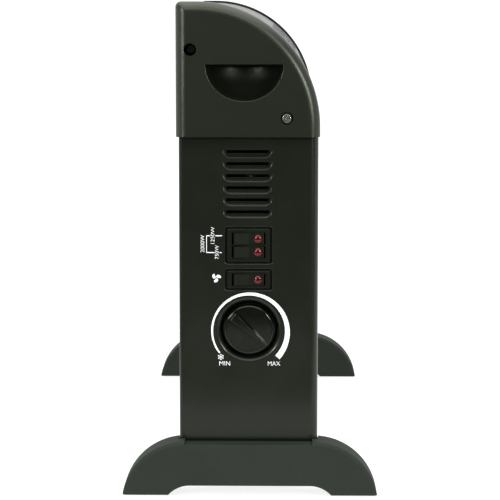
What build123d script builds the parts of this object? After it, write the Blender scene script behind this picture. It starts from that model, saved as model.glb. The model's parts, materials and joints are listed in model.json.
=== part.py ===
from build123d import *
import math
import os

# Portable turbo convector heater, in millimetres. +Z is up, the front faces -Y, the controls
# are at the -X end, and the origin is on the floor under the middle of the body.

os.makedirs("parts", exist_ok=True)

# Body
END_FACE = 250.0          # distance of each end panel's face from the middle
HEIGHT = 385.0            # floor to the top of the end caps
BODY_BOTTOM = 41.0        # underside of the end panels
BODY_FRONT = -53.2        # outside of the end panels' front flange
BODY_REAR = 55.3          # outside of the end panels' rear flange
SHEET = 0.7               # steel sheet thickness
PAN_TOP = 280.5           # top of the end panels' flanges
PAN_DEPTH = 18.0          # width of the end panels' flanges
TONGUE_TOP = 303.0        # top of the end panels' tongue behind the cap
WRAP_HALF = 243.0         # half length of the front panel
REAR_HALF = 247.0         # half length of the rear panel and the base plate

# End caps
CAP_REAR = 57.4
CAP_FRONT = -54.4
CAP_BOTTOM = 281.0
CAP_FACE = 257.0          # outer face of a cap
CAP_INNER = 223.0         # inner edge of a cap
CAP_CORNER = 4.4          # rear top corner
CAP_ROUND = 8.0           # rounding of the face's edge
CAP_WALL = 1.7
ARC_RADIUS = 96.5         # quarter round over the front top
WRAP_INSET = 1.9          # how far the metal top lies below the cap
SCOOP_Y, SCOOP_TOP = 4.2, 337.0
SCOOP_HALF_WIDTH, SCOOP_DROP = 30.0, 28.3
LOW_SCREW = (-28.6, 295.5)    # (Y, Z) of the shallow screw well
HIGH_SCREW = (46.0, 348.2)    # (Y, Z) of the deep screw well
WELL_RADIUS = 4.87

# Louvres in each end panel
LOUVRE_COUNT, LOUVRE_PITCH, LOUVRE_TOP = 6, 9.37, 270.6
LOUVRE_Y, LOUVRE_WIDTH, LOUVRE_HEIGHT, LOUVRE_DEPTH = 1.85, 38.2, 5.9, 2.6

# Switches
SWITCH_Y = 1.0
BEZEL_WIDTH = 33.4
ROCKER_PITCH = 10.5
DOUBLE_Z, DOUBLE_HEIGHT = 196.35, 25.7
SINGLE_Z, SINGLE_HEIGHT = 169.4, 13.7
OPENING_WIDTH, OPENING_HEIGHT = 26.2, 9.4
POCKET_GAP, POCKET_DEPTH = 1.5, 3.0
PIVOT_DEPTH, ROCKER_RADIUS, ROCKER_THROW = 2.5, 12.1, 14.0
ROCKER_WIDTH = 8.8
LENS_OFFSET, LENS_RADIUS = -7.2, 3.05

# Thermostat
DIAL_Y, DIAL_Z = 0.7, 129.8
DIAL_WELL, DIAL_WELL_DEPTH, DIAL_LIP = 22.4, 10.0, 3.8
KNOB_RADIUS = 19.4
SHAFT_RADIUS = 3.0
RUNNING_GAP = 0.05
STACK_START, STACK_BLOCK, STACK_PITCH = -228.0, 2.4, 3.8

# Feet
FOOT_HALF_WIDTH, FOOT_INNER, FOOT_OUTER = 100.0, 235.0, 265.0
FOOT_FLOOR = 1.0          # underside of the plastic, above the rubber pads
FOOT_ARC_Y, FOOT_ARC_Z = 50.5, -7.0
ARCH_TOP, ARCH_FLAT, ARCH_RADIUS = 8.5, 47.0, 22.7
FOOT_SCREW_X, FOOT_SCREW_Y = 241.0, 30.0

# Inside
BULKHEAD = 196.0          # outer face of each bulkhead
ELEMENT_Y, ELEMENT_LOW, ELEMENT_HIGH = 35.0, 208.0, 262.0
COILS_750W = ((-14.0, 224.0), (14.0, 224.0))
COILS_1250W = ((-24.0, 246.0), (0.0, 246.0), (24.0, 246.0))
COIL_RADIUS = 3.0
FAN_Z = 128.0
GLAND_X, GLAND_Y, GLAND_BORE = -215.0, 38.0, 3.75
CLAMP_SCREWS_X = (-230.0, -210.0)

FRONT_SKIN = CAP_FRONT + WRAP_INSET       # outside of the front panel
REAR_SKIN = BODY_REAR - SHEET             # outside of the rear panel
BASE_LOW = BODY_BOTTOM + 2 * SHEET        # underside of the base plate
BASE_TOP = BASE_LOW + SHEET


# Plain shapes
def slab(x0, x1, y0, y1, z0, z1):
    middle = Pos((x0 + x1) / 2, (y0 + y1) / 2, (z0 + z1) / 2)
    return middle * Box(abs(x1 - x0), abs(y1 - y0), abs(z1 - z0))


def bar_x(x0, x1, y, z, radius):
    return Pos((x0 + x1) / 2, y, z) * Rot(0, 90, 0) * Cylinder(radius, abs(x1 - x0))


def bar_y(y0, y1, x, z, radius):
    return Pos(x, (y0 + y1) / 2, z) * Rot(90, 0, 0) * Cylinder(radius, abs(y1 - y0))


def bar_z(z0, z1, x, y, radius):
    return Pos(x, y, (z0 + z1) / 2) * Cylinder(radius, abs(z1 - z0))


def prism_x(face, x0, x1):
    """Extrude a face drawn in (Y, Z) from x0 to x1."""
    return extrude(Plane.YZ.offset(x0) * face, x1 - x0)


def other_end(shape):
    """The same shape at the opposite end of the heater."""
    return mirror(shape, about=Plane.YZ)


def group(solids):
    return Compound(children=[part for item in solids for part in item.solids()])


def save(name, shape):
    export_step(shape, f"parts/{name}.step")


def edges_at(shape, x):
    return [edge for edge in shape.edges()
            if abs(edge.center().X - x) < 1e-3 and all(abs(v.X - x) < 1e-3 for v in edge.vertices())]


def pan_head(floor_x, y, z, head_radius, shank_radius, length):
    """Cross-head screw driven towards +X, its head standing on floor_x."""
    head = fillet(edges_at(bar_x(floor_x - 2.6, floor_x, y, z, head_radius), floor_x - 2.6), 1.6)
    cross = slab(floor_x - 3, floor_x - 1.2, y - 2.4, y + 2.4, z - 0.55, z + 0.55)
    cross += slab(floor_x - 3, floor_x - 1.2, y - 0.55, y + 0.55, z - 2.4, z + 2.4)
    return head + bar_x(floor_x, floor_x + length, y, z, shank_radius) - cross


# Side outline shared by the caps, the metal top and the bulkheads
def side_profile(inset, bottom, rear, corner):
    """Upright rear, flat top and quarter round front, as a face in (Y, Z)."""
    front, top, radius = CAP_FRONT + inset, HEIGHT - inset, ARC_RADIUS - inset
    return make_face([
        Line((rear, bottom), (rear, top - corner)),
        CenterArc((rear - corner, top - corner), corner, 0, 90),
        Line((rear - corner, top), (front + radius, top)),
        CenterArc((front + radius, top - radius), radius, 90, 90),
        Line((front, top - radius), (front, bottom)),
        Line((front, bottom), (rear, bottom)),
    ])


# Sheet metal casing
def outlet_slots():
    """Two rows of long slots across the curved top, each cut along the curve."""
    arc_y, arc_z = CAP_FRONT + ARC_RADIUS, HEIGHT - ARC_RADIUS
    radius = ARC_RADIUS - WRAP_INSET
    slots = []
    for row_angle in (20.0, 42.5):
        angle = math.radians(row_angle)
        outward = Vector(0, -math.cos(angle), math.sin(angle))
        for step in range(-23, 24):
            centre = Vector(step * 8.2, arc_y, arc_z) + outward * radius
            plane = Plane(origin=centre, x_dir=(0, math.sin(angle), math.cos(angle)), z_dir=outward)
            slots.append(extrude(plane * SlotOverall(32, 3.6), 5, both=True))
    return slots


def front_panel():
    """One sheet: bottom return, flat front, quarter round, flat top and rear lip."""
    bottom = BODY_BOTTOM + SHEET
    inner = WRAP_INSET + SHEET
    shell = prism_x(side_profile(WRAP_INSET, bottom, BODY_REAR, 2.2), -WRAP_HALF, WRAP_HALF)
    shell -= prism_x(side_profile(inner, bottom + SHEET, BODY_REAR - SHEET, 1.5), -WRAP_HALF, WRAP_HALF)
    shell -= slab(-WRAP_HALF, WRAP_HALF, 50, 60, 40, 369)
    shell -= slab(-WRAP_HALF, WRAP_HALF, -41, 60, 40, 44)
    for skin, low, bend in ((FRONT_SKIN, bottom, 1.5), (FRONT_SKIN + SHEET, bottom + SHEET, 0.8)):
        shell = fillet([edge for edge in shell.edges().filter_by(Axis.X)
                        if abs(edge.center().Y - skin) < 0.01 and abs(edge.center().Z - low) < 0.01], bend)
    screw_holes = [bar_y(50, 60, x, z, 1.9) for x, z in rear_screw_places() if z > 300]
    return shell - outlet_slots() - screw_holes


def rear_panel():
    """Flat sheet with a round fan intake and a row of convection slots."""
    sheet = slab(-REAR_HALF, REAR_HALF, REAR_SKIN - SHEET, REAR_SKIN, BODY_BOTTOM + SHEET + 1.3, 380.5)
    cuts = [bar_y(50, 58, 0, FAN_Z, 2.6)]
    for ring in range(1, 6):
        for step in range(6 * ring):
            angle = math.tau * step / (6 * ring)
            cuts.append(bar_y(50, 58, 8.6 * ring * math.cos(angle), FAN_Z + 8.6 * ring * math.sin(angle), 2.6))
    for step in range(-16, 17):
        plane = Plane(origin=(step * 12, 54, 205), x_dir=(0, 0, 1), z_dir=(0, 1, 0))
        cuts.append(extrude(plane * SlotOverall(26, 3.6), 5, both=True))
    cuts += [bar_y(50, 58, x, z, 1.9) for x, z in rear_screw_places()]
    return sheet - cuts


def rear_screw_places():
    low = [(x, 50.0) for x in (-160, 0, 160)]
    return low + [(x, 375.0) for x in (-205, 0, 205)]


def rear_panel_screws():
    screws = []
    for x, z in rear_screw_places():
        seat = REAR_SKIN if z < 100 else BODY_REAR
        head = bar_y(seat, seat + 2.0, x, z, 3.6)
        head = fillet(head.edges().group_by(Axis.Y)[-1], 1.0)
        cross = slab(x - 2, x + 2, seat + 1, seat + 3, z - 0.5, z + 0.5)
        cross += slab(x - 0.5, x + 0.5, seat + 1, seat + 3, z - 2, z + 2)
        screws.append(head + bar_y(seat - 8, seat, x, z, 1.75) - cross)
    return group(screws)


def base_plate():
    """Floor of the body, with air inlet slots and a rear upstand."""
    plate = slab(-REAR_HALF, REAR_HALF, -46, REAR_SKIN - SHEET, BASE_LOW, BASE_TOP)
    plate += slab(-REAR_HALF, REAR_HALF, REAR_SKIN - 2 * SHEET, REAR_SKIN - SHEET, BASE_LOW, 57)
    cuts = []
    for row_y in (-26, 2, 30):
        for step in range(-15, 16):
            plane = Plane(origin=(step * 12, row_y, BASE_LOW), x_dir=(0, 1, 0), z_dir=(0, 0, 1))
            cuts.append(extrude(plane * SlotOverall(22, 5), 5, both=True))
    cuts += [bar_z(40, 46, x, y, 1.9) for x, y in foot_screw_places()]
    cuts.append(bar_z(40, 46, GLAND_X, GLAND_Y, 7.05))
    cuts += [bar_y(50, 58, x, z, 1.9) for x, z in rear_screw_places() if z < 100]
    return plate - cuts


def pan_block(inset):
    block = slab(-END_FACE + inset, -END_FACE + PAN_DEPTH + inset, BODY_FRONT + inset,
                 BODY_REAR - inset, BODY_BOTTOM + inset, PAN_TOP + 5 * inset)
    uprights = [edge for edge in edges_at(block, -END_FACE + inset) if abs(edge.tangent_at(0.5).Z) > 0.9]
    front, rear = sorted(uprights, key=lambda edge: edge.center().Y)
    block = fillet(front, 6.5 - inset)
    rear = min(block.edges().filter_by(Axis.Z), key=lambda edge: (edge.center() - rear.center()).length)
    block = fillet(rear, 2.6 - inset)
    face_low = [edge for edge in edges_at(block, -END_FACE + inset) if edge.center().Z < BODY_BOTTOM + 2]
    return fillet(face_low, 2.0 - inset)


def louvre_outline(grow):
    """Straight top edge, with a quarter round from each end down to the bottom edge."""
    half, drop = LOUVRE_WIDTH / 2 + grow, LOUVRE_HEIGHT + grow
    return make_face([
        Line((-half, 0), (half, 0)),
        CenterArc((half - drop, 0), drop, 270, 90),
        Line((half - drop, -drop), (drop - half, -drop)),
        CenterArc((drop - half, 0), drop, 180, 90),
    ])


def louvre_dish(place, grow, depth):
    """Solid that slopes in from the outline to a smaller one at a stated depth."""
    outer = Plane.YZ.offset(-END_FACE) * (place * louvre_outline(grow))
    inner = Plane.YZ.offset(-END_FACE + depth) * (place * louvre_outline(grow - depth))
    return loft([outer, inner])


def plain_pan():
    """End panel: a flanged pan with a tongue behind the cap and six pressed louvres."""
    pan = pan_block(0) - pan_block(SHEET)
    pan += slab(-END_FACE, -END_FACE + SHEET, BODY_FRONT + 8, BODY_REAR - 6, PAN_TOP - 10, TONGUE_TOP)
    for index in range(LOUVRE_COUNT):
        top = LOUVRE_TOP - index * LOUVRE_PITCH
        place = Pos(LOUVRE_Y, top)
        pan += louvre_dish(place, 0.9 * SHEET, LOUVRE_DEPTH + SHEET)
        pan -= louvre_dish(place, 0, LOUVRE_DEPTH)
        lip = [edge for edge in edges_at(pan, -END_FACE) if top - LOUVRE_HEIGHT - 0.1 < edge.center().Z < top - 0.5
               and abs(edge.center().Y - LOUVRE_Y) < LOUVRE_WIDTH / 2]
        pan = fillet(lip, 1.2)
        slot = place * Pos(0, -1.15) * Rectangle(LOUVRE_WIDTH - 5.6, 2.5)
        pan -= prism_x(slot, -END_FACE - 1, -END_FACE + 6)
    for y in (-FOOT_SCREW_Y, FOOT_SCREW_Y):
        pan -= bar_z(40, 46, -FOOT_SCREW_X, y, 1.9)
    return pan - bar_x(-255, -245, *LOW_SCREW, 1.9)


def switch_pocket(pan, z, height, body_height):
    """Press a shallow pocket round one switch bezel, with a hole for its body."""
    wide, tall = BEZEL_WIDTH / 2 + POCKET_GAP, height / 2 + POCKET_GAP
    y0, y1, z0, z1 = SWITCH_Y - wide, SWITCH_Y + wide, z - tall, z + tall
    face, back = -END_FACE, -END_FACE + POCKET_DEPTH
    tray = slab(face, back + SHEET, y0 - SHEET, y1 + SHEET, z0 - SHEET, z1 + SHEET)
    tray = fillet(tray.edges().filter_by(Axis.X), 2.5)
    hollow = slab(face - 1, back, y0, y1, z0, z1)
    hollow = fillet(hollow.edges().filter_by(Axis.X), 1.8)
    hole = slab(face - 1, back + 2, SWITCH_Y - 15.1, SWITCH_Y + 15.1, z - body_height / 2 - 0.1, z + body_height / 2 + 0.1)
    pan = pan + tray - hollow - hole
    lip = [edge for edge in edges_at(pan, face)
           if y0 - 0.1 < edge.center().Y < y1 + 0.1 and z0 - 0.1 < edge.center().Z < z1 + 0.1]
    return fillet(lip, 0.9)


def dial_well(pan):
    """Dish a round well for the dial, with a broad rolled lip and a hole for the bush."""
    face, back, rim = -END_FACE, -END_FACE + DIAL_WELL_DEPTH, DIAL_WELL + DIAL_LIP + 1
    outline = make_face(Polyline(
        (face, rim), (face, DIAL_WELL), (back, DIAL_WELL - 0.3), (back, 5.2), (back + SHEET, 5.2),
        (back + SHEET, DIAL_WELL + SHEET - 0.3), (face + SHEET, DIAL_WELL + SHEET), (face + SHEET, rim), close=True))
    lip = [v for v in outline.vertices() if abs(v.X - face) < 0.01 and v.Y < rim - 0.1]
    outline = fillet(lip, DIAL_LIP)
    behind = [v for v in outline.vertices() if abs(v.X - face - SHEET) < 0.01 and v.Y < rim - 0.1]
    outline = fillet(behind, DIAL_LIP - SHEET)
    foot = [v for v in outline.vertices() if abs(v.X - back) < 0.01 and v.Y > 10]
    outline = fillet(foot, 1.5)
    dish = Pos(0, DIAL_Y, DIAL_Z) * revolve(Plane.XY * outline, Axis.X)
    return pan - bar_x(face - 1, back, DIAL_Y, DIAL_Z, rim) + dish


def control_pan(pan):
    pan = switch_pocket(pan, DOUBLE_Z, DOUBLE_HEIGHT, 23.3)
    pan = switch_pocket(pan, SINGLE_Z, SINGLE_HEIGHT, 12.0)
    return dial_well(pan)


# Plastic end caps
def cap_block(inset, x_face, x_back, bottom, face_round):
    block = prism_x(side_profile(inset, bottom, CAP_REAR - inset, CAP_CORNER - inset), x_face, x_back)
    rim = [edge for edge in edges_at(block, x_face) if edge.center().Z > bottom + 0.1]
    return fillet(rim, face_round)


def scoop_bowl(half_width, drop):
    """Round bowl below the flat roof of the hand scoop, turned about a Y axis."""
    half = make_face([EllipticalCenterArc((0, 0), half_width, drop, start_angle=0, arc_size=180),
                      Line((half_width, 0), (-half_width, 0))])
    profile = Plane(origin=(0, 0, 0), x_dir=(0, 1, 0), z_dir=(1, 0, 0)) * half
    return Pos(-CAP_FACE, SCOOP_Y, SCOOP_TOP) * revolve(profile, Axis.Y)


def end_cap():
    """Hollow cap with a hand scoop and two screw wells."""
    cap = cap_block(0, -CAP_FACE, -CAP_INNER, CAP_BOTTOM, CAP_ROUND)
    cap -= cap_block(CAP_WALL, -CAP_FACE + 2.2, -CAP_INNER + 5, CAP_BOTTOM + 2, CAP_ROUND - CAP_WALL)
    cap -= slab(-END_FACE - 0.3, -CAP_INNER + 5, CAP_FRONT + CAP_WALL, CAP_REAR - CAP_WALL, 275, CAP_BOTTOM + 4)
    body = slab(-CAP_FACE + 1, -CAP_INNER, -40, 50, 300, SCOOP_TOP + 1.8)
    cap += scoop_bowl(SCOOP_HALF_WIDTH + 1.8, SCOOP_DROP + 1.8) & body
    cap += bar_x(-CAP_FACE + 1, -END_FACE, *LOW_SCREW, 6.7)
    cap += bar_x(-CAP_FACE + 1, -233, *HIGH_SCREW, 6.7)
    cap -= scoop_bowl(SCOOP_HALF_WIDTH, SCOOP_DROP) & slab(-270, -220, -40, 50, 300, SCOOP_TOP)
    cap -= bar_x(-CAP_FACE - 1, -END_FACE - 2.2, *LOW_SCREW, WELL_RADIUS)
    cap -= bar_x(-CAP_FACE - 1, -235, *HIGH_SCREW, WELL_RADIUS)
    cap -= bar_x(-CAP_FACE - 1, -225, *LOW_SCREW, 1.9)
    cap -= bar_x(-CAP_FACE - 1, -225, *HIGH_SCREW, 1.9)
    lower_rim = [edge for edge in edges_at(cap, -CAP_FACE)
                 if abs(edge.center().Y - SCOOP_Y) < 5 and 300 < edge.center().Z < SCOOP_TOP - 10]
    return fillet(lower_rim, 0.4)


def cap_bracket():
    """Steel angle behind the rear panel's top corner that the deep screw bites into."""
    bracket = slab(-233, -231.8, 38, 53.9, 338, 358) + slab(-233, -216, 52.7, 53.9, 338, 358)
    return bracket - bar_x(-235, -230, *HIGH_SCREW, 1.9)


# Feet
def foot_outline(inset):
    radius = math.hypot(FOOT_HALF_WIDTH - FOOT_ARC_Y, FOOT_FLOOR - FOOT_ARC_Z) - inset
    floor = FOOT_FLOOR + inset
    start = math.degrees(math.asin((floor - FOOT_ARC_Z) / radius))
    side = FOOT_ARC_Y + radius * math.cos(math.radians(start))
    top = FOOT_ARC_Z + radius
    arch_top, arch_radius = ARCH_TOP + inset, ARCH_RADIUS + inset
    drop = arch_radius - (arch_top - floor)
    arch_end = ARCH_FLAT + math.sqrt(arch_radius ** 2 - drop ** 2)
    return make_face([
        CenterArc((FOOT_ARC_Y, FOOT_ARC_Z), radius, start, 90 - start),
        Line((FOOT_ARC_Y, top), (-FOOT_ARC_Y, top)),
        CenterArc((-FOOT_ARC_Y, FOOT_ARC_Z), radius, 90, 90 - start),
        Line((-side, floor), (-arch_end, floor)),
        TangentArc((-ARCH_FLAT, arch_top), (-arch_end, floor), tangent=(-1, 0)),
        Line((-ARCH_FLAT, arch_top), (ARCH_FLAT, arch_top)),
        TangentArc((ARCH_FLAT, arch_top), (arch_end, floor), tangent=(1, 0)),
        Line((arch_end, floor), (side, floor)),
    ])


def foot_screw_places():
    return [(x, y) for x in (-FOOT_SCREW_X, FOOT_SCREW_X) for y in (-FOOT_SCREW_Y, FOOT_SCREW_Y)]


def foot():
    """Arched hollow moulding, open below, that the body stands in."""
    block = prism_x(foot_outline(0), -FOOT_OUTER, -FOOT_INNER)
    crown = [edge for face_x in (-FOOT_OUTER, -FOOT_INNER) for edge in edges_at(block, face_x)
             if edge.center().Z > 12 and not (abs(edge.center().Y) < 1 and edge.center().Z < 20)]
    block = fillet(crown, 3.2)
    seat = slab(-END_FACE - 0.4, -FOOT_INNER + 1, BODY_FRONT - 0.6, BODY_REAR + 0.6, BODY_BOTTOM, 50)
    front_seat = slab(-FOOT_OUTER - 1, -END_FACE + 1, -49, 51, BODY_BOTTOM, 50)
    block = block - seat - front_seat
    hollow = prism_x(foot_outline(3.0), -FOOT_OUTER + 3, -FOOT_INNER - 3)
    hollow &= slab(-270, -230, -90, 90, 0, BODY_BOTTOM - 3)
    block -= hollow
    block -= slab(-FOOT_OUTER + 3, -FOOT_INNER - 3, -ARCH_FLAT, ARCH_FLAT, 5, 20)
    for y in (-58, -16, 16, 58):
        block += slab(-FOOT_OUTER + 2, -FOOT_INNER - 2, y - 1, y + 1, 11, BODY_BOTTOM - 2)
    for y in (-FOOT_SCREW_Y, FOOT_SCREW_Y):
        block += bar_z(9, BODY_BOTTOM - 2, -FOOT_SCREW_X, y, 5.6) & slab(-262, -235, -40, 40, 0, 50)
        block -= bar_z(5, 34, -FOOT_SCREW_X, y, 4.2)
        block -= bar_z(5, 60, -FOOT_SCREW_X, y, 1.9)
    for side in (-1, 1):
        block -= slab(-258, -242, side * 70, side * 94, 0, FOOT_FLOOR + 1)
    return block


def foot_pads():
    pads = []
    for end in (-1, 1):
        for side in (-1, 1):
            pad = slab(end * 258, end * 242, side * 70, side * 94, 0, FOOT_FLOOR + 1)
            pads.append(fillet(pad.faces().sort_by(Axis.Z)[0].edges(), 0.4))
    return group(pads)


def foot_screws():
    screws = []
    for x, y in foot_screw_places():
        head = bar_z(31.4, 34, x, y, 3.9)
        head = fillet(head.edges().group_by(Axis.Z)[0], 1.2)
        cross = slab(x - 2.2, x + 2.2, y - 0.5, y + 0.5, 31, 32.6)
        cross += slab(x - 0.5, x + 0.5, y - 2.2, y + 2.2, 31, 32.6)
        screws.append(head + bar_z(34, 50, x, y, 1.75) - cross)
    return group(screws)


# Switches
def rocker_centres():
    return {
        "1250w": DOUBLE_Z + ROCKER_PITCH / 2,
        "750w": DOUBLE_Z - ROCKER_PITCH / 2,
        "fan": SINGLE_Z,
    }


def switch_housing(z, height, body_height, rockers):
    """Bezel and hollow body with one opening and one pivot bore per rocker."""
    bezel = slab(-END_FACE, -END_FACE + POCKET_DEPTH, SWITCH_Y - BEZEL_WIDTH / 2, SWITCH_Y + BEZEL_WIDTH / 2,
                 z - height / 2, z + height / 2)
    bezel = fillet(bezel.edges().filter_by(Axis.X), 0.8)
    bezel = fillet(edges_at(bezel, -END_FACE), 0.5)
    body = slab(-END_FACE + POCKET_DEPTH, -228, SWITCH_Y - 15, SWITCH_Y + 15, z - body_height / 2, z + body_height / 2)
    housing = bezel + body
    for centre in rockers:
        half = OPENING_HEIGHT / 2
        housing -= slab(-END_FACE - 1, -237, SWITCH_Y - OPENING_WIDTH / 2, SWITCH_Y + OPENING_WIDTH / 2,
                        centre - half, centre + half)
        housing -= bar_z(centre - half - 0.7, centre + half + 0.7, -END_FACE + PIVOT_DEPTH, SWITCH_Y, 1.5 + RUNNING_GAP)
    return housing


def rocker_profile():
    """Side shape about the pivot: one half flush with the bezel, the other raised."""
    tilt = math.radians(ROCKER_THROW)
    flush_end = math.sqrt(ROCKER_RADIUS ** 2 - PIVOT_DEPTH ** 2)
    flush_angle = math.degrees(math.atan2(PIVOT_DEPTH, flush_end))
    nose_angle = flush_angle + ROCKER_THROW
    nose = (ROCKER_RADIUS * math.cos(math.radians(nose_angle)), ROCKER_RADIUS * math.sin(math.radians(nose_angle)))
    kink = (-PIVOT_DEPTH * math.tan(tilt / 2), PIVOT_DEPTH)
    low = 20.0
    bottom = ROCKER_RADIUS * math.sin(math.radians(low))
    side = ROCKER_RADIUS * math.cos(math.radians(low))
    return make_face([
        Line((-flush_end, PIVOT_DEPTH), kink),
        Line(kink, nose),
        CenterArc((0, 0), ROCKER_RADIUS, -low, nose_angle + low),
        Line((side, -bottom), (-side, -bottom)),
        CenterArc((0, 0), ROCKER_RADIUS, 180 - flush_angle, flush_angle + low),
    ])


def rocker(z):
    low = z - ROCKER_WIDTH / 2
    plane = Plane(origin=(-END_FACE + PIVOT_DEPTH, SWITCH_Y, low), x_dir=(0, 1, 0), z_dir=(0, 0, 1))
    body = extrude(plane * rocker_profile(), ROCKER_WIDTH)
    outer = [edge for edge in body.edges().filter_by(Axis.Z) if edge.center().X < -END_FACE + 2
             and abs(edge.center().Y - SWITCH_Y) > 5]
    body = fillet(outer, 0.9)
    body += bar_z(low - 0.8, low + ROCKER_WIDTH + 0.8, -END_FACE + PIVOT_DEPTH, SWITCH_Y, 1.5)
    return body - bar_x(-END_FACE - 1, -END_FACE + 2.4, SWITCH_Y + LENS_OFFSET, z, LENS_RADIUS + 0.03)


def lens(z):
    """Domed round lens let into the flush half of a rocker."""
    y, face = SWITCH_Y + LENS_OFFSET, -END_FACE
    dome_radius = 5.0
    rise = dome_radius - math.sqrt(dome_radius ** 2 - LENS_RADIUS ** 2)
    dome = Pos(face - rise + dome_radius, y, z) * Sphere(dome_radius)
    return bar_x(face, face + 2.4, y, z, LENS_RADIUS) + (dome & bar_x(face - 3, face, y, z, LENS_RADIUS))


def switch_terminals():
    blades = []
    for z in rocker_centres().values():
        for y in (-7, 0, 7):
            blades.append(slab(-228, -219, SWITCH_Y + y - 2.4, SWITCH_Y + y + 2.4, z - 0.4, z + 0.4))
    return group(blades)


# Thermostat
def thermostat_knob():
    """Cup shaped knob with a skirt, a hub and a tapered grip ridge that points at the setting."""
    rear, face = -END_FACE + 9.0, -END_FACE - 0.8
    knob = bar_x(face, rear, DIAL_Y, DIAL_Z, KNOB_RADIUS)
    knob = fillet(edges_at(knob, face), 1.8)
    skirt = bar_x(rear - 2.0, rear, DIAL_Y, DIAL_Z, KNOB_RADIUS + 1.6)
    knob += fillet(edges_at(skirt, rear - 2.0), 0.8)
    knob -= bar_x(face + 2.0, rear + 1, DIAL_Y, DIAL_Z, KNOB_RADIUS - 1.8)
    knob += bar_x(face + 1, rear - 2.5, DIAL_Y, DIAL_Z, 5.2)
    knob -= bar_x(face + 2.5, rear, DIAL_Y, DIAL_Z, SHAFT_RADIUS + 0.02)
    low = make_face(Polyline((-17.6, -5.6), (17.8, -1.5), (17.8, 1.5), (-17.6, 5.6), close=True))
    high = make_face(Polyline((-16.4, -3.2), (17.0, -0.5), (17.0, 0.5), (-16.4, 3.2), close=True))
    pointing = math.radians(-41.0)
    along = (0, -math.cos(pointing), math.sin(pointing))
    base = Plane(origin=(face + 0.4, DIAL_Y, DIAL_Z), x_dir=along, z_dir=(-1, 0, 0))
    top = Plane(origin=(face - 4.2, DIAL_Y, DIAL_Z), x_dir=along, z_dir=(-1, 0, 0))
    ridge = loft([base * low, top * high])
    ridge = fillet(edges_at(ridge, face - 4.2), 0.4)
    return knob + (ridge & bar_x(-270, rear, DIAL_Y, DIAL_Z, KNOB_RADIUS - 0.6))


def thermostat_shaft():
    return bar_x(-END_FACE + 1.8, STACK_START - 0.4, DIAL_Y, DIAL_Z, SHAFT_RADIUS)


def thermostat_body():
    """Steel frame with the bush that passes through the well's floor."""
    floor = -END_FACE + DIAL_WELL_DEPTH
    y, z = DIAL_Y, DIAL_Z
    frame = slab(floor + SHEET, floor + 2.2, y - 13, y + 13, z - 17, z + 17)
    frame += slab(floor + SHEET, -216, y - 13, y - 11.8, z - 8, z + 8)
    frame += slab(floor + SHEET, -216, y + 11.8, y + 13, z - 8, z + 8)
    frame += slab(-217.2, -216, y - 13, y + 13, z - 8, z + 8)
    frame += bar_x(floor - 3.2, floor + SHEET, y, z, 4.9)
    return frame - bar_x(floor - 4, floor + 4, y, z, SHAFT_RADIUS + RUNNING_GAP)


def thermostat_stack():
    return group([slab(x, x + STACK_BLOCK, DIAL_Y - 11.6, DIAL_Y + 11.6, DIAL_Z - 5, DIAL_Z + 5)
                  for x in (STACK_START, STACK_START + STACK_PITCH, STACK_START + 2 * STACK_PITCH)])


def thermostat_terminals():
    return group([slab(x + STACK_BLOCK, x + STACK_PITCH, DIAL_Y - 2.6, DIAL_Y + 2.6, DIAL_Z - 16, DIAL_Z + 18)
                  for x in (STACK_START, STACK_START + STACK_PITCH)])


def thermostat_nut():
    floor = -END_FACE + DIAL_WELL_DEPTH
    hexagon = Pos(DIAL_Y, DIAL_Z) * RegularPolygon(7.5, 6)
    return prism_x(hexagon, floor - 2.2, floor) - bar_x(floor - 3, floor + 1, DIAL_Y, DIAL_Z, 4.95)


# Heating element and its compartment
def bulkhead(end):
    """Sheet that closes the heating compartment at one end."""
    outer = BULKHEAD
    face = side_profile(WRAP_INSET + SHEET + 0.5, BASE_TOP, REAR_SKIN - 2 * SHEET - 0.3, 1.0)
    sheet = prism_x(face, -outer, -outer + SHEET)
    sheet += slab(-outer - 9, -outer + SHEET, -40, 48, BASE_TOP, BASE_TOP + SHEET)
    for y, z in COILS_750W + COILS_1250W:
        sheet -= bar_x(-outer - 2, -outer + 2, y, z, 3.0)
    return sheet if end < 0 else other_end(sheet)


def element_rails():
    rails = []
    inner = BULKHEAD - SHEET
    for side in (-1, 1):
        web = slab(-inner, inner, side * ELEMENT_Y, side * (ELEMENT_Y + 1), ELEMENT_LOW, ELEMENT_HIGH)
        web += slab(-inner, inner, side * (ELEMENT_Y - 9), side * (ELEMENT_Y + 1), ELEMENT_LOW, ELEMENT_LOW + 1)
        rails.append(web)
    return group(rails)


def mica_boards():
    boards = []
    for step in range(-3, 4):
        x = step * 60.0
        board = slab(x - 0.5, x + 0.5, -ELEMENT_Y, ELEMENT_Y, ELEMENT_LOW + 1, ELEMENT_HIGH - 2)
        for y, z in COILS_750W + COILS_1250W:
            board -= bar_x(x - 2, x + 2, y, z, COIL_RADIUS + 0.3)
        boards.append(board)
    return group(boards)


def heating_coils(places):
    return group([bar_x(-186, 186, y, z, COIL_RADIUS) for y, z in places])


def element_terminals():
    return group([bar_x(end * 206, end * 186, y, z, 1.6) for end in (-1, 1) for y, z in COILS_750W + COILS_1250W])


def terminal_bushes():
    bushes = []
    for end in (-1, 1):
        for y, z in COILS_750W + COILS_1250W:
            flange = bar_x(end * BULKHEAD, end * (BULKHEAD + 2.5), y, z, 4.4)
            bushes.append(flange + bar_x(end * BULKHEAD, end * 192, y, z, 2.97) - bar_x(end * 190, end * 200, y, z, 1.65))
    return group(bushes)


def heat_baffle():
    sheet = slab(-190, 190, 46, 46.7, 222, 340)
    for x in (-150, 0, 150):
        sheet += slab(x - 8, x + 8, 46, 53.9, 339.3, 340)
    return sheet


def cutout_bracket():
    arm = slab(-195.3, -150, -8, 8, 290, 291) + slab(-195.3, -194.3, -8, 8, 280, 291)
    return arm - bar_z(285, 295, -160, 0, 4.2)


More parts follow.
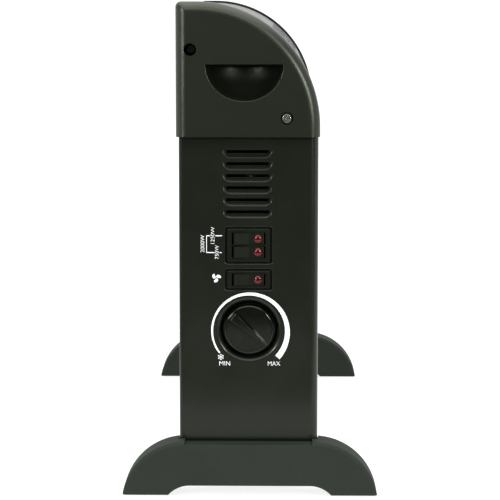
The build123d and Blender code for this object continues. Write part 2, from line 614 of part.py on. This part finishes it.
def thermal_cutout():
    can = bar_z(291, 296, -160, 0, 8) + bar_z(287, 291, -160, 0, 4.1)
    return can + slab(-172, -148, -2, 2, 296, 296.8)


# Fan
def impeller():
    """Five twisted blades on a round hub, pressed on the shaft."""
    wheel = bar_y(31, 46, 0, FAN_Z, 12)
    wheel = fillet(wheel.edges().group_by(Axis.Y)[-1], 3)
    blade = Pos(28.5, 39, 0) * Rot(32, 0, 0) * Box(35, 1.6, 26)
    disc = bar_y(33, 45, 0, 0, 46)
    for step in range(5):
        wheel += Pos(0, 0, FAN_Z) * Rot(0, 72 * step, 0) * (blade & disc)
    return wheel - bar_y(30, 44.2, 0, FAN_Z, 2.0)


def fan_shaft():
    return bar_y(-14, 44.2, 0, FAN_Z, 2.0)


def fan_rotor_core():
    return bar_y(-1, 16, 0, FAN_Z, 11) - bar_y(-2, 17, 0, FAN_Z, 2.0)


def fan_stator():
    core = slab(-30, 30, 0, 15, FAN_Z - 20, FAN_Z + 42)
    core -= bar_y(-1, 16, 0, FAN_Z, 11.6)
    core -= slab(-18, 18, -1, 16, FAN_Z + 18, FAN_Z + 32)
    return core - [bar_y(-1, 16, x, FAN_Z, 1.8) for x in (-26, 26)]


def fan_coil():
    coil = slab(-15, 15, -6, 21, FAN_Z + 26.5, FAN_Z + 47.5)
    coil = fillet(coil.edges().filter_by(Axis.X), 3)
    return coil - slab(-16, 16, 0, 15, FAN_Z + 32, FAN_Z + 42)


def bearing_bridge(y_core, y_plate, thickness, boss):
    bridge = slab(-30, 30, y_plate, y_plate + thickness, FAN_Z - 6, FAN_Z + 6)
    for side in (-1, 1):
        bridge += slab(side * 22, side * 30, y_core, y_plate, FAN_Z - 6, FAN_Z + 6)
    bridge += bar_y(y_plate, y_plate + boss, 0, FAN_Z, 5.5)
    bridge -= bar_y(-20, 30, 0, FAN_Z, 2.0 + RUNNING_GAP)
    return bridge - [bar_y(-20, 30, x, FAN_Z, 1.8) for x in (-26, 26)]


def fan_bearings():
    return group([bearing_bridge(0, -6, -2, -5), bearing_bridge(15, 21, 2, 5)])


def fan_bracket():
    """Strap across the back of the motor, with legs to the rear panel."""
    strap = slab(-58, 58, 23, 24.5, FAN_Z - 8, FAN_Z + 8) - bar_y(20, 28, 0, FAN_Z, 6.5)
    for side in (-1, 1):
        strap += slab(side * 56.5, side * 58, 23, 53.9, FAN_Z - 8, FAN_Z + 8)
        strap += slab(side * 56.5, side * 68, 52.4, 53.9, FAN_Z - 8, FAN_Z + 8)
    return strap - [bar_y(20, 28, x, FAN_Z, 1.8) for x in (-26, 26)]


def fan_shroud():
    ring = bar_y(32, 53.9, 0, FAN_Z, 51) - bar_y(31, 55, 0, FAN_Z, 49)
    for angle in (45, 135, 225, 315):
        tab = slab(49.5, 58, 52.4, 53.9, -5, 5)
        ring += Pos(0, 0, FAN_Z) * Rot(0, angle, 0) * tab
    return ring


def fan_screws():
    screws = []
    for x in (-26, 26):
        head = fillet(bar_y(24.5, 27, x, FAN_Z, 3.4).edges().group_by(Axis.Y)[-1], 1)
        screws.append(head + bar_y(-11, 24.5, x, FAN_Z, 1.7))
    return group(screws)


# Supply cord entry and wiring
def cord_gland():
    gland = bar_z(BASE_LOW - 2.6, BASE_LOW, GLAND_X, GLAND_Y, 10)
    gland = fillet(gland.edges().group_by(Axis.Z)[0], 1.0)
    gland += bar_z(BASE_LOW, BASE_TOP + 14, GLAND_X, GLAND_Y, 7)
    return gland - bar_z(BASE_LOW - 4, BASE_TOP + 16, GLAND_X, GLAND_Y, GLAND_BORE)


def gland_nut():
    hexagon = Plane(origin=(GLAND_X, GLAND_Y, BASE_TOP), z_dir=(0, 0, 1)) * RegularPolygon(10.5, 6)
    return extrude(hexagon, 4) - bar_z(BASE_TOP - 1, BASE_TOP + 5, GLAND_X, GLAND_Y, 7.05)


def cord_clamp():
    arch = slab(-234, -206, 12, 21, BASE_TOP, BASE_TOP + 9) - slab(-225, -215, 10, 23, BASE_TOP - 1, BASE_TOP + 7)
    return arch - [bar_z(40, 60, x, 16.5, 1.7) for x in CLAMP_SCREWS_X]


def cord_clamp_screws():
    screws = []
    for x in CLAMP_SCREWS_X:
        head = fillet(bar_z(BASE_TOP + 9, BASE_TOP + 11, x, 16.5, 3).edges().group_by(Axis.Z)[-1], 0.8)
        screws.append(head + bar_z(BASE_TOP + 0.2, BASE_TOP + 9, x, 16.5, 1.6))
    return group(screws)


def terminal_places():
    return [(x, -24 + index * 12) for index in range(3) for x in (-222, -214)]


def terminal_block():
    block = slab(-228, -208, -30, 6, BASE_TOP, BASE_TOP + 12)
    return block - [bar_z(BASE_TOP + 5, BASE_TOP + 13, x, y, 2.6) for x, y in terminal_places()]


def terminal_screws():
    return group([bar_z(BASE_TOP + 5, BASE_TOP + 10, x, y, 2.4) for x, y in terminal_places()])


def wire(points, bend):
    path = FilletPolyline(*points, radius=bend)
    start = Plane(origin=path @ 0, z_dir=path % 0)
    return sweep(start * Circle(1.1), path=path)


def live_wires():
    low = BASE_TOP + 12
    return group([
        wire(((-225, -27, low), (-225, -27, 90), (-212, -36, 120), (-212, -36, 162), (-212, -12, 170)), 6),
        wire(((-218, -27, low), (-218, -27, 84), (-205, -40, 112), (-205, -40, 184), (-205, -14, 194)), 6),
    ])


def neutral_wires():
    low = BASE_TOP + 12
    return group([wire(((-211, 3, low), (-211, 3, 88), (-202, 34, 112), (-202, 34, 200), (-202, 26, 236)), 6)])


def earth_wire():
    low = BASE_TOP + 12
    return group([wire(((-211, -9, low), (-211, -9, 76), (-203, 20, 84), (-200, 38, 66)), 5)])


def build():
    control = plain_pan()
    cap, leg = end_cap(), foot()
    save("front_panel", front_panel())
    save("rear_panel", rear_panel())
    save("base_plate", base_plate())
    save("control_end_panel", control_pan(control))
    save("plain_end_panel", other_end(control))
    save("control_end_cap", cap)
    save("plain_end_cap", other_end(cap))
    save("control_end_foot", leg)
    save("plain_end_foot", other_end(leg))
    save("foot_pads", foot_pads())
    save("foot_screws", foot_screws())
    save("rear_panel_screws", rear_panel_screws())
    bracket = cap_bracket()
    save("cap_brackets", group([bracket, other_end(bracket)]))
    low_screw = pan_head(-END_FACE - 2.2, *LOW_SCREW, 4.3, 1.75, 8)
    save("cap_screws_lower", group([low_screw, other_end(low_screw)]))
    high_screw = pan_head(-235, *HIGH_SCREW, 4.3, 1.75, 8)
    save("cap_screws_upper", group([high_screw, other_end(high_screw)]))

    centres = rocker_centres()
    double = (centres["1250w"], centres["750w"])
    save("double_switch_housing", switch_housing(DOUBLE_Z, DOUBLE_HEIGHT, 23.3, double))
    save("single_switch_housing", switch_housing(SINGLE_Z, SINGLE_HEIGHT, 12.0, (centres["fan"],)))
    for name, z in centres.items():
        save(f"rocker_{name}", rocker(z))
        save(f"lens_{name}", lens(z))
    save("switch_terminals", switch_terminals())

    save("thermostat_knob", thermostat_knob())
    save("thermostat_shaft", thermostat_shaft())
    save("thermostat_body", thermostat_body())
    save("thermostat_stack", thermostat_stack())
    save("thermostat_terminals", thermostat_terminals())
    save("thermostat_nut", thermostat_nut())

    save("control_bulkhead", bulkhead(-1))
    save("plain_bulkhead", bulkhead(1))
    save("element_rails", element_rails())
    save("mica_boards", mica_boards())
    save("heating_coils_750w", heating_coils(COILS_750W))
    save("heating_coils_1250w", heating_coils(COILS_1250W))
    save("element_terminals", element_terminals())
    save("terminal_bushes", terminal_bushes())
    save("heat_baffle", heat_baffle())
    save("cutout_bracket", cutout_bracket())
    save("thermal_cutout", thermal_cutout())

    save("impeller", impeller())
    save("fan_shaft", fan_shaft())
    save("fan_rotor_core", fan_rotor_core())
    save("fan_stator", fan_stator())
    save("fan_coil", fan_coil())
    save("fan_bearings", fan_bearings())
    save("fan_bracket", fan_bracket())
    save("fan_shroud", fan_shroud())
    save("fan_screws", fan_screws())

    save("cord_gland", cord_gland())
    save("gland_nut", gland_nut())
    save("cord_clamp", cord_clamp())
    save("cord_clamp_screws", cord_clamp_screws())
    save("terminal_block", terminal_block())
    save("terminal_screws", terminal_screws())
    save("live_wires", live_wires())
    save("neutral_wires", neutral_wires())
    save("earth_wire", earth_wire())


build()
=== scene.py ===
import json
import math

import bmesh
import bpy
from mathutils import Matrix, Vector


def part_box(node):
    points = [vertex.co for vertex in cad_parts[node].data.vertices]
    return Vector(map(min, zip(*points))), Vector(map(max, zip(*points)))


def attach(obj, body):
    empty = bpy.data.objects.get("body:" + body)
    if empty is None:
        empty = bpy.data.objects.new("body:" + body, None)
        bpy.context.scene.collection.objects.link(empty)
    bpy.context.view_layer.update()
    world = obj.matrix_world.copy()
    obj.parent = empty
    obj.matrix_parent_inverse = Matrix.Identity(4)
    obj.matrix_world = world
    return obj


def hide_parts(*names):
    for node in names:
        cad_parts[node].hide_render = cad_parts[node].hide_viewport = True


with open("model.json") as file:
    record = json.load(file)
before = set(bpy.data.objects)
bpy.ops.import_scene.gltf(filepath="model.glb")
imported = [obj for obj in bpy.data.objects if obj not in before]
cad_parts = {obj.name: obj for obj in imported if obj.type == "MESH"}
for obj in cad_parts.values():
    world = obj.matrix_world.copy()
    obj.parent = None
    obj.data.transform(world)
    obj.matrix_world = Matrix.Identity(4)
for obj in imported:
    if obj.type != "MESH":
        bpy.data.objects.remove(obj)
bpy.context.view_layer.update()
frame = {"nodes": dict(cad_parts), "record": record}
nodes = frame["nodes"]
MM = 0.001
WHITE = (1, 1, 1, 1)


# Materials ---------------------------------------------------------------------------------

# Tint of the gloss on the black steel and plastics, which lean towards green.
GREEN_BLACK = (0.92, 1.0, 0.82)

# Share of a noise texture's range in which nearly all of its values lie.
NOISE_LOW, NOISE_HIGH = 0.3, 0.7

# One entry for each slot in the record that has a plain procedural finish.
FINISHES = {
    "painted_steel": dict(
        colour=(0.0062, 0.0078, 0.0050), roughness=0.33, spread=0.12, grain=1100,
        grain_depth=0.000010, ripple=14, ripple_depth=0.0004, specular=0.20, tint=GREEN_BLACK,
        coat=0.22, coat_roughness=0.12),
    "cap_plastic": dict(
        colour=(0.0036, 0.0048, 0.0026), roughness=0.36, spread=0.06, grain=1900,
        specular=0.51, tint=GREEN_BLACK),
    "foot_plastic": dict(
        colour=(0.0148, 0.0192, 0.0150), roughness=0.72, spread=0.06, grain=1700,
        grain_depth=0.00003, specular=0.17, tint=GREEN_BLACK),
    "pad_rubber": dict(colour=(0.22, 0.22, 0.21), roughness=0.8, grain=900, grain_depth=0.00005),
    "zinc_screws": dict(
        colour=(0.82, 0.82, 0.80), roughness=0.24, spread=0.05, grain=700, metallic=1.0),
    # The upper cap screws are the same zinc screws as the lower ones; this darker grey is painted
    # shade of the deep wells they sit in.
    "black_screws": dict(colour=(0.12, 0.12, 0.12), roughness=0.30, grain=700, metallic=1.0),
    "galvanised_steel": dict(
        colour=(0.50, 0.52, 0.53), roughness=0.38, spread=0.22, mottle=90, grain=500,
        grain_depth=0.00001, metallic=1.0),
    "switch_plastic": dict(
        colour=(0.0045, 0.0062, 0.0038), roughness=0.32, spread=0.08, grain=2400,
        grain_depth=0.000006, specular=0.23, tint=GREEN_BLACK),
    "knob_plastic": dict(
        colour=(0.0030, 0.0036, 0.0026), roughness=0.08, rough_spread=0.02, grain=180,
        grain_depth=0.000004, specular=0.32, tint=GREEN_BLACK),
    "shaft_steel": dict(
        colour=(0.58, 0.58, 0.57), roughness=0.25, stretch=(1, 8, 8), metallic=1.0),
    "terminal_brass": dict(colour=(0.72, 0.54, 0.24), roughness=0.28, mottle=200, metallic=1.0),
    "ceramic": dict(colour=(0.78, 0.74, 0.64), roughness=0.6, mottle=120, grain=800),
    "mica": dict(colour=(0.42, 0.36, 0.24), roughness=0.45, spread=0.35, mottle=220, grain=600),
    "coil_wire": dict(
        colour=(0.26, 0.22, 0.19), roughness=0.4, spread=0.3, mottle=300, metallic=1.0),
    "cutout_metal": dict(colour=(0.72, 0.72, 0.72), roughness=0.25, metallic=1.0),
    "laminated_steel": dict(
        colour=(0.38, 0.39, 0.40), roughness=0.4, grain=300, grain_depth=0.0001,
        stretch=(0.2, 8, 0.2), metallic=1.0),
    "coil_winding": dict(
        colour=(0.40, 0.13, 0.04), roughness=0.35, grain=400, grain_depth=0.0001,
        stretch=(8, 1, 1), coat=0.4),
    "bearing_metal": dict(
        colour=(0.58, 0.58, 0.58), roughness=0.42, grain=500, grain_depth=0.00004, metallic=1.0),
    "fan_plastic": dict(colour=(0.03, 0.03, 0.03), roughness=0.4),
    "inner_plastic": dict(colour=(0.02, 0.02, 0.02), roughness=0.45),
    "live_insulation": dict(colour=(0.16, 0.05, 0.015), roughness=0.4),
    "neutral_insulation": dict(colour=(0.02, 0.07, 0.30), roughness=0.4),
    "earth_insulation": dict(colour=(0.12, 0.36, 0.04), roughness=0.4, spread=0.9, mottle=90),
}
LENS_RED = (0.075, 0.0003, 0.002)
PRINT_WHITE = dict(colour=(0.80, 0.80, 0.82), roughness=0.5, spread=0.04, mottle=400, grain=2500)


def shader_tree(name):
    """New material with a coordinate node and a principled shader."""
    material = bpy.data.materials.new(name)
    material.use_nodes = True
    tree = material.node_tree
    tree.nodes.clear()
    output = tree.nodes.new("ShaderNodeOutputMaterial")
    shader = tree.nodes.new("ShaderNodeBsdfPrincipled")
    place = tree.nodes.new("ShaderNodeTexCoord")
    tree.links.new(shader.outputs["BSDF"], output.inputs["Surface"])
    return material, tree, shader, place


def noise(tree, place, scale, detail=3.0, stretch=(1, 1, 1)):
    """Noise in the object's own space."""
    mapping = tree.nodes.new("ShaderNodeMapping")
    mapping.inputs["Scale"].default_value = stretch
    texture = tree.nodes.new("ShaderNodeTexNoise")
    texture.inputs["Scale"].default_value = scale
    texture.inputs["Detail"].default_value = detail
    tree.links.new(place.outputs["Object"], mapping.inputs["Vector"])
    tree.links.new(mapping.outputs["Vector"], texture.inputs["Vector"])
    return texture.outputs["Fac"]


def vary_colour(tree, fac, colour, spread):
    """Base colour that drifts a little either side of the stated one."""
    ramp = tree.nodes.new("ShaderNodeValToRGB")
    dark, light = ramp.color_ramp.elements
    dark.position, light.position = NOISE_LOW, NOISE_HIGH
    dark.color = [c * (1 - spread) for c in colour] + [1]
    light.color = [min(1, c * (1 + spread)) for c in colour] + [1]
    tree.links.new(fac, ramp.inputs["Fac"])
    return ramp.outputs["Color"]


def remap(tree, value, source, target):
    """Map Range node that takes one pair of values to another."""
    node = tree.nodes.new("ShaderNodeMapRange")
    node.inputs["From Min"].default_value, node.inputs["From Max"].default_value = source
    node.inputs["To Min"].default_value, node.inputs["To Max"].default_value = target
    tree.links.new(value, node.inputs["Value"])
    return node


def vary_value(tree, fac, low, high):
    """Number that drifts between two limits."""
    return remap(tree, fac, (NOISE_LOW, NOISE_HIGH), (low, high)).outputs["Result"]


def bump(tree, fac, depth, under=None):
    """Normal with relief of a stated depth, on top of another one where there is one."""
    node = tree.nodes.new("ShaderNodeBump")
    node.inputs["Distance"].default_value = depth
    node.inputs["Strength"].default_value = 1.0
    tree.links.new(fac, node.inputs["Height"])
    if under is not None:
        tree.links.new(under, node.inputs["Normal"])
    return node.outputs["Normal"]


def finish_material(name, colour, roughness, *, spread=0.1, rough_spread=0.05, mottle=35,
                    grain=1400, grain_depth=0.00002, stretch=(1, 1, 1), ripple=0,
                    ripple_depth=0.0, metallic=0.0, specular=0.5, tint=(1, 1, 1), coat=0.0,
                    coat_roughness=0.1):
    """One procedural finish: drifting colour and gloss over a fine surface grain."""
    material, tree, shader, place = shader_tree(name)
    broad = noise(tree, place, mottle, 2.0)
    fine = noise(tree, place, grain, 2.0, stretch)
    tree.links.new(vary_colour(tree, broad, colour, spread), shader.inputs["Base Color"])
    rough = vary_value(tree, fine, max(0.02, roughness - rough_spread), roughness + rough_spread)
    tree.links.new(rough, shader.inputs["Roughness"])
    normal = bump(tree, fine, grain_depth)
    if ripple:
        normal = bump(tree, noise(tree, place, ripple, 1.0), ripple_depth, normal)
    tree.links.new(normal, shader.inputs["Normal"])
    shader.inputs["Metallic"].default_value = metallic
    shader.inputs["Specular IOR Level"].default_value = specular
    shader.inputs["Specular Tint"].default_value = [*tint, 1]
    shader.inputs["Coat Weight"].default_value = coat
    shader.inputs["Coat Roughness"].default_value = coat_roughness
    return material


def lens_material():
    """Smooth deep red plastic of the switch lamps."""
    material, tree, shader, place = shader_tree("lens_red")
    fac = noise(tree, place, 260, 1.0)
    tree.links.new(vary_colour(tree, fac, LENS_RED, 0.2), shader.inputs["Base Color"])
    tree.links.new(vary_value(tree, fac, 0.03, 0.05), shader.inputs["Roughness"])
    shader.inputs["Specular IOR Level"].default_value = 0.35
    return material


def make_finishes():
    """Every finish by the name of its slot."""
    made = {name: finish_material(name, **settings) for name, settings in FINISHES.items()}
    made["lens_red"] = lens_material()
    return made


def dress_nodes(finishes):
    """Give every CAD node the finish of its slot in the record."""
    for entry in frame["record"]["subparts"]:
        piece = nodes[entry["node"]]
        piece.data.materials.clear()
        piece.data.materials.append(finishes[entry["material_slot"]])


# Printed marks on the control panel --------------------------------------------------------

PRINT_LIFT = 0.06 * MM
SCALE_DROP = 1.0 * MM

# Words, centre (y, z), length and height in millimetres, and whether they stand upright.
LETTERING = {
    "mark_min": ("MIN", 19.8, 103.1, 8.5, 3.4, True),
    "mark_max": ("MAX", -18.9, 103.1, 9.7, 3.4, True),
    "mark_2000w": ("2000W", 37.0, 197.6, 13.6, 2.9, False),
    "mark_1250w": ("1250W", 29.1, 204.2, 13.2, 2.9, False),
    "mark_750w": ("750W", 25.8, 191.1, 10.8, 2.9, False),
}
# How much thinner the letters' strokes are than the font's own, as a share of its size.
LETTER_THINNING = -0.008


def panel_x():
    """Outer face of the control panel."""
    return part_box("control_end_panel")[0].x


def scale_centre():
    """Centre of the printed scale, a little below the dial's shaft."""
    low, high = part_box("thermostat_nut")
    return (low.y + high.y) / 2, (low.z + high.z) / 2 - SCALE_DROP


def add_print(name, data, material):
    """Link one printed mesh as a piece of the panel."""
    data.materials.clear()
    data.materials.append(material)
    piece = bpy.data.objects.new(name, data)
    bpy.context.scene.collection.objects.link(piece)
    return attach(piece, "root")


def flat_piece(name, outlines, material):
    """Thin printed shapes on the panel; each outline is a list of (y, z) in metres."""
    mesh = bmesh.new()
    x = panel_x() - PRINT_LIFT
    for outline in outlines:
        mesh.faces.new([mesh.verts.new((x, y, z)) for y, z in outline])
    bmesh.ops.recalc_face_normals(mesh, faces=mesh.faces)
    for face in mesh.faces:
        if face.normal.x > 0:
            face.normal_flip()
    data = bpy.data.meshes.new(name)
    mesh.to_mesh(data)
    mesh.free()
    return add_print(name, data, material)


def level_arc(material):
    """Tapered band round the dial, thin at MIN and broad at MAX."""
    y0, z0 = scale_centre()
    start, end, steps = 217.0, -43.0, 96
    inner, thin, growth, taper = 28.2 * MM, 1.3 * MM, 3.2 * MM, 1.6
    edge = []
    for step in range(steps + 1):
        share = step / steps
        angle = math.radians(start + (end - start) * share)
        outer = inner + thin + growth * share ** taper
        edge.append([(y0 - radius * math.cos(angle), z0 + radius * math.sin(angle))
                     for radius in (inner, outer)])
    quads = [[near[0], near[1], far[1], far[0]] for near, far in zip(edge, edge[1:])]
    return flat_piece("dial_level_arc", quads, material)


def stroke(y0, z0, y1, z1, width):
    """Rectangle along a straight printed line."""
    along = Vector((y1 - y0, z1 - z0)).normalized()
    side = Vector((-along.y, along.x)) * width / 2
    return [(y0 + side.x, z0 + side.y), (y1 + side.x, z1 + side.y),
            (y1 - side.x, z1 - side.y), (y0 - side.x, z0 - side.y)]


def snowflake(material, y, z, size):
    """Three crossed lines with a pair of barbs on each of their six arms."""
    arm_width, barb_width = 0.55 * MM, 0.4 * MM
    first, barb_turn = 30, 50
    barb_place, barb_length = size * 0.30, size * 0.17
    lines = []
    for line in range(3):
        angle = math.radians(first + 60 * line)
        reach = (math.cos(angle) * size / 2, math.sin(angle) * size / 2)
        lines.append(stroke(y - reach[0], z - reach[1], y + reach[0], z + reach[1], arm_width))
    for arm in range(6):
        direction = first + 60 * arm
        angle = math.radians(direction)
        root = (y + math.cos(angle) * barb_place, z + math.sin(angle) * barb_place)
        for turn in (-barb_turn, barb_turn):
            barb = math.radians(direction + turn)
            tip = (root[0] + math.cos(barb) * barb_length, root[1] + math.sin(barb) * barb_length)
            lines.append(stroke(*root, *tip, barb_width))
    return flat_piece("frost_mark", lines, material)


def fan_mark(material, y, z, size):
    """Three swept blades that meet in the middle."""
    first, sweep, belly, steps = 13, 92, 38, 19
    hub, blade_reach, fullness = size * 0.098, size * 0.392, 0.55
    blades = []
    for blade in range(3):
        outline = []
        for step in range(steps + 1):
            share = step / steps
            bulge = math.sin(math.pi * share)
            reach = hub + blade_reach * bulge ** fullness
            angle = math.radians(first + 120 * blade + sweep * (share - 0.5) + belly * bulge)
            outline.append((y + reach * math.cos(angle), z + reach * math.sin(angle)))
        blades.append(outline)
    return flat_piece("fan_mark", blades, material)


def bracket_mark(material):
    """Line that joins the two wattages to their total, broken where their lettering stands."""
    spine, upper, lower = 33.8 * MM, 203.9 * MM, 190.7 * MM
    spine_past, branch_past = 0.2 * MM, 0.3 * MM
    spine_width, branch_width = 0.50 * MM, 0.68 * MM
    lines = [stroke(spine, upper + spine_past, spine, lower - spine_past, spine_width)]
    for z, gap_start, gap_end, tip in ((upper, 31.1, 26.9, 21.7), (lower, 27.7, 23.6, 22.0)):
        lines.append(stroke(spine + branch_past, z, gap_start * MM, z, branch_width))
        lines.append(stroke(gap_end * MM, z, tip * MM, z, branch_width))
    return flat_piece("wattage_bracket", lines, material)


def printed_text(name, words, y, z, length, height, upright, material):
    """Lettering of a stated length and height, centred on (y, z)."""
    curve = bpy.data.curves.new(name, "FONT")
    curve.body = words
    curve.align_x, curve.align_y = "CENTER", "CENTER"
    curve.offset = LETTER_THINNING
    letters = bpy.data.objects.new(name, curve)
    bpy.context.scene.collection.objects.link(letters)
    bpy.context.view_layer.update()
    graph = bpy.context.evaluated_depsgraph_get()
    data = bpy.data.meshes.new_from_object(letters.evaluated_get(graph))
    bpy.data.objects.remove(letters)
    xs = [v.co.x for v in data.vertices]
    ys = [v.co.y for v in data.vertices]
    shrink = Matrix.Diagonal((length / (max(xs) - min(xs)), height / (max(ys) - min(ys)), 1, 1))
    centre = Matrix.Translation((-(max(xs) + min(xs)) / 2, -(max(ys) + min(ys)) / 2, 0))
    if upright:
        columns = ((0, -1, 0), (0, 0, 1), (-1, 0, 0))
    else:
        columns = ((0, 0, 1), (0, 1, 0), (-1, 0, 0))
    facing = Matrix(columns).transposed().to_4x4()
    spot = Matrix.Translation((panel_x() - PRINT_LIFT, y, z))
    data.transform(spot @ facing @ shrink @ centre)
    return add_print(name, data, material)


def printed_marks():
    """All the white marks on the control panel."""
    ink = finish_material("print_white", **PRINT_WHITE)
    level_arc(ink)
    snowflake(ink, 22.8 * MM, 108.2 * MM, 4.9 * MM)
    fan_mark(ink, 26.3 * MM, 170.9 * MM, 7.6 * MM)
    bracket_mark(ink)
    for name, (words, y, z, length, height, upright) in LETTERING.items():
        printed_text(name, words, y * MM, z * MM, length * MM, height * MM, upright, ink)


# Wound heating coils -----------------------------------------------------------------------

COIL_LINES = {"heating_coils_750w": 2, "heating_coils_1250w": 3}
COIL_RADIUS = 2.6 * MM
COIL_PITCH = 3.4 * MM
COIL_STEPS = 10
WIRE_RADIUS = 0.35 * MM


def heating_coil(name, node, lines, finishes):
    """Helices of resistance wire in place of one set of CAD rods."""
    low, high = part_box(node)
    curve = bpy.data.curves.new(name, "CURVE")
    curve.dimensions = "3D"
    curve.bevel_depth = WIRE_RADIUS
    curve.bevel_resolution = 1
    steps = int((high.x - low.x) / COIL_PITCH) * COIL_STEPS
    for y, z in lines:
        spline = curve.splines.new("POLY")
        spline.points.add(steps)
        for index, point in enumerate(spline.points):
            angle = math.tau * index / COIL_STEPS
            x = low.x + (high.x - low.x) * index / steps
            side, rise = COIL_RADIUS * math.cos(angle), COIL_RADIUS * math.sin(angle)
            point.co = (x, y + side, z + rise, 1)
    curve.materials.append(finishes["coil_wire"])
    piece = bpy.data.objects.new(name, curve)
    bpy.context.scene.collection.objects.link(piece)
    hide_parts(node)
    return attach(piece, "root")


def heating_coils(finishes):
    """Both heating circuits, each with its helices spread over the width of its rods."""
    for node, count in COIL_LINES.items():
        low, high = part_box(node)
        z = (low.z + high.z) / 2
        radius = (high.z - low.z) / 2
        first, last = low.y + radius, high.y - radius
        lines = [(first + (last - first) * index / (count - 1), z) for index in range(count)]
        heating_coil(f"wound_{node}", node, lines, finishes)


# Floor, light and camera -------------------------------------------------------------------

FLOOR_FRONT = -0.60
FLOOR_REACH = 60
FLOOR_WHITE = (0.30, 0.30, 0.30)
FLOOR_GLOW = 0.82

# Brightness of the room over a range of one component of the direction looked in.
ROOM_GLOW = {"X": ((-0.25, 0.35), (0.05, 1.05)), "Z": ((0.25, 1.0), (0.0, 0.7))}
BACKDROP_GLOW = 1.2

CEILING_GLOW, CEILING_SPREAD, CEILING_TILT = 0.9, 70, 10
LIGHT_AIM = (-0.25, 0, 0.2)

LENS = 144.47
SENSOR_WIDTH = 36
CAMERA_PLACE = (-1.8005, -0.0265, 0.3868)
CAMERA_PITCH, CAMERA_YAW = 7.132, 0.977


def floor():
    """White table top that ends a third of a metre in front of the controls."""
    mesh = bmesh.new()
    corners = [(FLOOR_FRONT, -FLOOR_REACH), (FLOOR_REACH, -FLOOR_REACH),
               (FLOOR_REACH, FLOOR_REACH), (FLOOR_FRONT, FLOOR_REACH)]
    mesh.faces.new([mesh.verts.new((x, y, 0)) for x, y in corners])
    data = bpy.data.meshes.new("floor")
    mesh.to_mesh(data)
    mesh.free()
    material, tree, shader, place = shader_tree("floor_white")
    colour = vary_colour(tree, noise(tree, place, 3.0), FLOOR_WHITE, 0.02)
    tree.links.new(colour, shader.inputs["Base Color"])
    shader.inputs["Roughness"].default_value = 0.9
    shader.inputs["Specular IOR Level"].default_value = 0.1
    shader.inputs["Emission Color"].default_value = WHITE
    shader.inputs["Emission Strength"].default_value = FLOOR_GLOW
    data.materials.append(material)
    ground = bpy.data.objects.new("floor", data)
    bpy.context.scene.collection.objects.link(ground)


def soft_light(name, place, aim, size, glow):
    """Rectangular soft box of a stated radiance, itself out of the picture."""
    data = bpy.data.lights.new(name, "AREA")
    data.shape = "RECTANGLE"
    data.size, data.size_y = size
    data.energy = glow * math.pi * size[0] * size[1]
    lamp = bpy.data.objects.new(name, data)
    lamp.location = place
    lamp.rotation_euler = (Vector(aim) - Vector(place)).to_track_quat("-Z", "Y").to_euler()
    lamp.visible_camera = False
    bpy.context.scene.collection.objects.link(lamp)


def background(tree, strength):
    """White light of the world."""
    node = tree.nodes.new("ShaderNodeBackground")
    node.inputs["Color"].default_value = WHITE
    node.inputs["Strength"].default_value = strength
    return node


def studio_world():
    """White backdrop for the camera, in a room that is dim in front and bright behind and above."""
    world = bpy.data.worlds.new("studio")
    world.use_nodes = True
    tree = world.node_tree
    tree.nodes.clear()
    output = tree.nodes.new("ShaderNodeOutputWorld")
    either = tree.nodes.new("ShaderNodeMixShader")
    room = background(tree, 1.0)
    backdrop = background(tree, BACKDROP_GLOW)
    path = tree.nodes.new("ShaderNodeLightPath")
    direction = tree.nodes.new("ShaderNodeTexCoord")
    split = tree.nodes.new("ShaderNodeSeparateXYZ")
    total = tree.nodes.new("ShaderNodeMath")
    total.operation = "ADD"
    tree.links.new(direction.outputs["Generated"], split.inputs["Vector"])
    for socket, (axis, (source, target)) in zip(total.inputs, ROOM_GLOW.items()):
        glow = remap(tree, split.outputs[axis], source, target)
        glow.interpolation_type = "SMOOTHSTEP"
        tree.links.new(glow.outputs["Result"], socket)
    tree.links.new(total.outputs["Value"], room.inputs["Strength"])
    tree.links.new(path.outputs["Is Camera Ray"], either.inputs["Fac"])
    tree.links.new(room.outputs["Background"], either.inputs[1])
    tree.links.new(backdrop.outputs["Background"], either.inputs[2])
    tree.links.new(either.outputs["Shader"], output.inputs["Surface"])
    bpy.context.scene.world = world


def studio_lamps():
    """Wide ceiling light, and soft boxes to both sides, in front, above and low down."""
    sun = bpy.data.lights.new("ceiling", "SUN")
    sun.energy = CEILING_GLOW
    sun.angle = math.radians(CEILING_SPREAD)
    lamp = bpy.data.objects.new("ceiling", sun)
    lamp.rotation_euler = (0, math.radians(CEILING_TILT), 0)
    bpy.context.scene.collection.objects.link(lamp)
    for side in (-1, 1):
        soft_light("key", (-1.70, side * 1.15, 0.68), LIGHT_AIM, (0.42, 0.42), 36)
        soft_light("strip", (-0.75, side * 2.2, 0.7), LIGHT_AIM, (0.5, 1.6), 2.0)
    soft_light("low_card", (-0.95, 0, 0.002), (-0.95, 0.001, 1), (0.20, 0.20), 0.9)
    soft_light("front_top", (-1.50, 0, 1.45), LIGHT_AIM, (2.2, 0.5), 3.8)
    soft_light("overhead", (-0.60, 0, 1.9), LIGHT_AIM, (2.4, 1.2), 2.2)


def camera():
    """Level with the top of the heater, looking down at its control end."""
    pitch, yaw = math.radians(CAMERA_PITCH), math.radians(CAMERA_YAW)
    data = bpy.data.cameras.new("camera")
    data.sensor_width = SENSOR_WIDTH
    data.lens = LENS
    eye = bpy.data.objects.new("camera", data)
    level = math.cos(pitch)
    ahead = Vector((level * math.cos(yaw), level * math.sin(yaw), -math.sin(pitch)))
    right = Vector((math.sin(yaw), -math.cos(yaw), 0))
    turn = Matrix((right, right.cross(ahead), -ahead)).transposed().to_4x4()
    eye.matrix_world = Matrix.Translation(CAMERA_PLACE) @ turn
    bpy.context.scene.collection.objects.link(eye)
    bpy.context.scene.camera = eye


camera()
finishes = make_finishes()
dress_nodes(finishes)
printed_marks()
heating_coils(finishes)
floor()
studio_world()
studio_lamps()
bpy.context.scene.view_settings.view_transform = "Standard"
